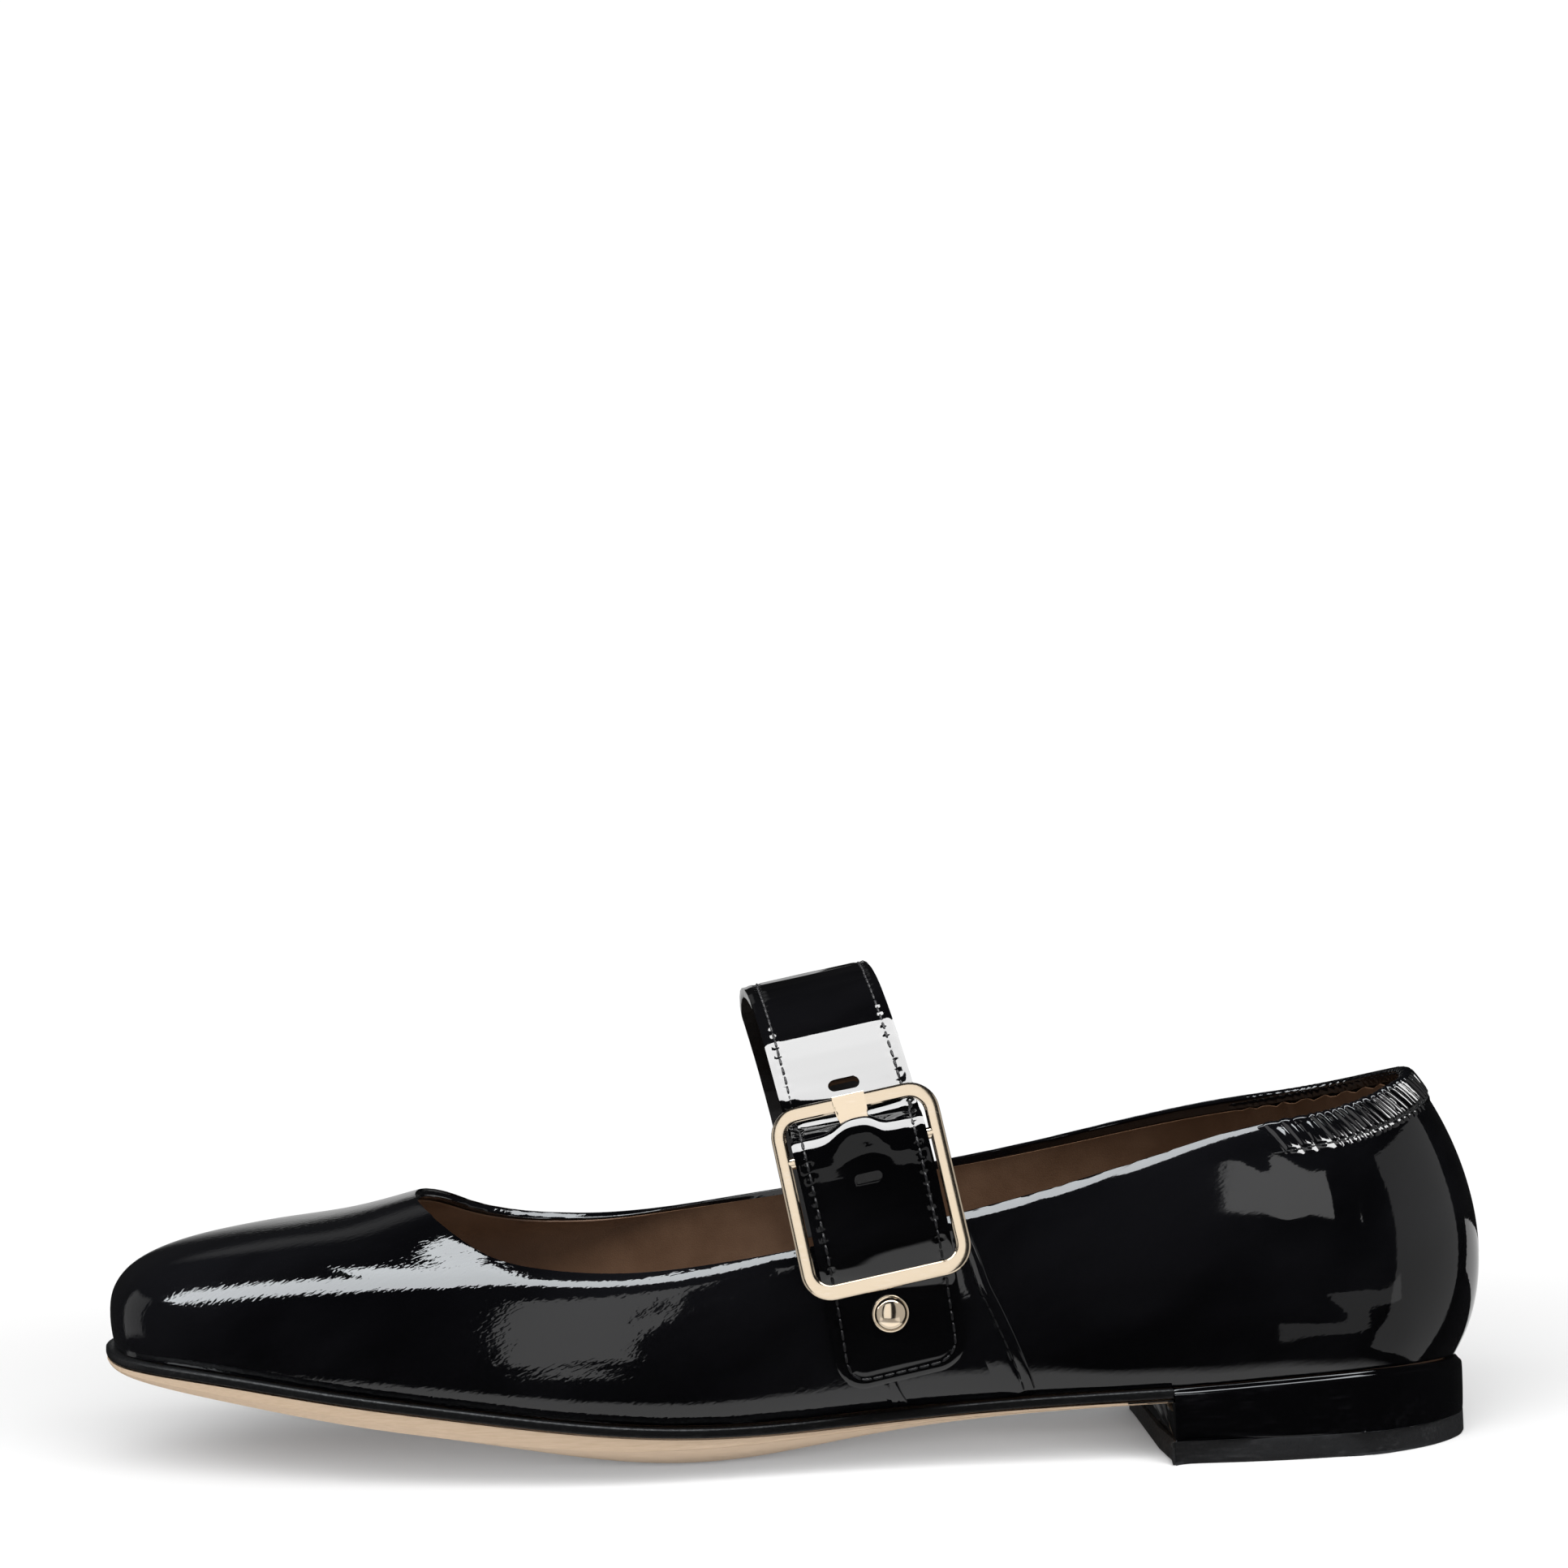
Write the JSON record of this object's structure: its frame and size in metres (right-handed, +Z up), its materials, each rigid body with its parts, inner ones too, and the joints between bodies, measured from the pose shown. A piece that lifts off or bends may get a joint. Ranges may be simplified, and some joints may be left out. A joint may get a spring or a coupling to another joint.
{
  "type": "ballet flat shoe",
  "caption": "Left ballet flat with a low square heel, open throat and collar, and a wide buckled strap over the instep.",
  "frame": {"origin": "on the floor, under the centre of the shoe's bounding box", "axes": "+X along the shoe from toe to heel, +Y from its outer side to its inner side, +Z up"},
  "size_m": [0.258, 0.0855, 0.0898],
  "materials": {
    "patent_leather": "black patent, high gloss",
    "black_welt": "black, semi-gloss",
    "sole_leather": "pale tan, matt",
    "sock_leather": "tan, matt",
    "black_gloss_heel": "black, gloss",
    "heel_rubber": "dark grey, matt",
    "pale_gold": "pale gold plate, satin gloss"
  },
  "bodies": {
    "root": {"outsole": "sole_leather", "rand": "black_welt", "heel_block": "black_gloss_heel", "top_piece": "heel_rubber", "insole": "sock_leather", "upper": "patent_leather", "strap": "patent_leather", "buckle": "pale_gold", "prong": "pale_gold", "stud": "pale_gold"}
  },
  "joints": []
}
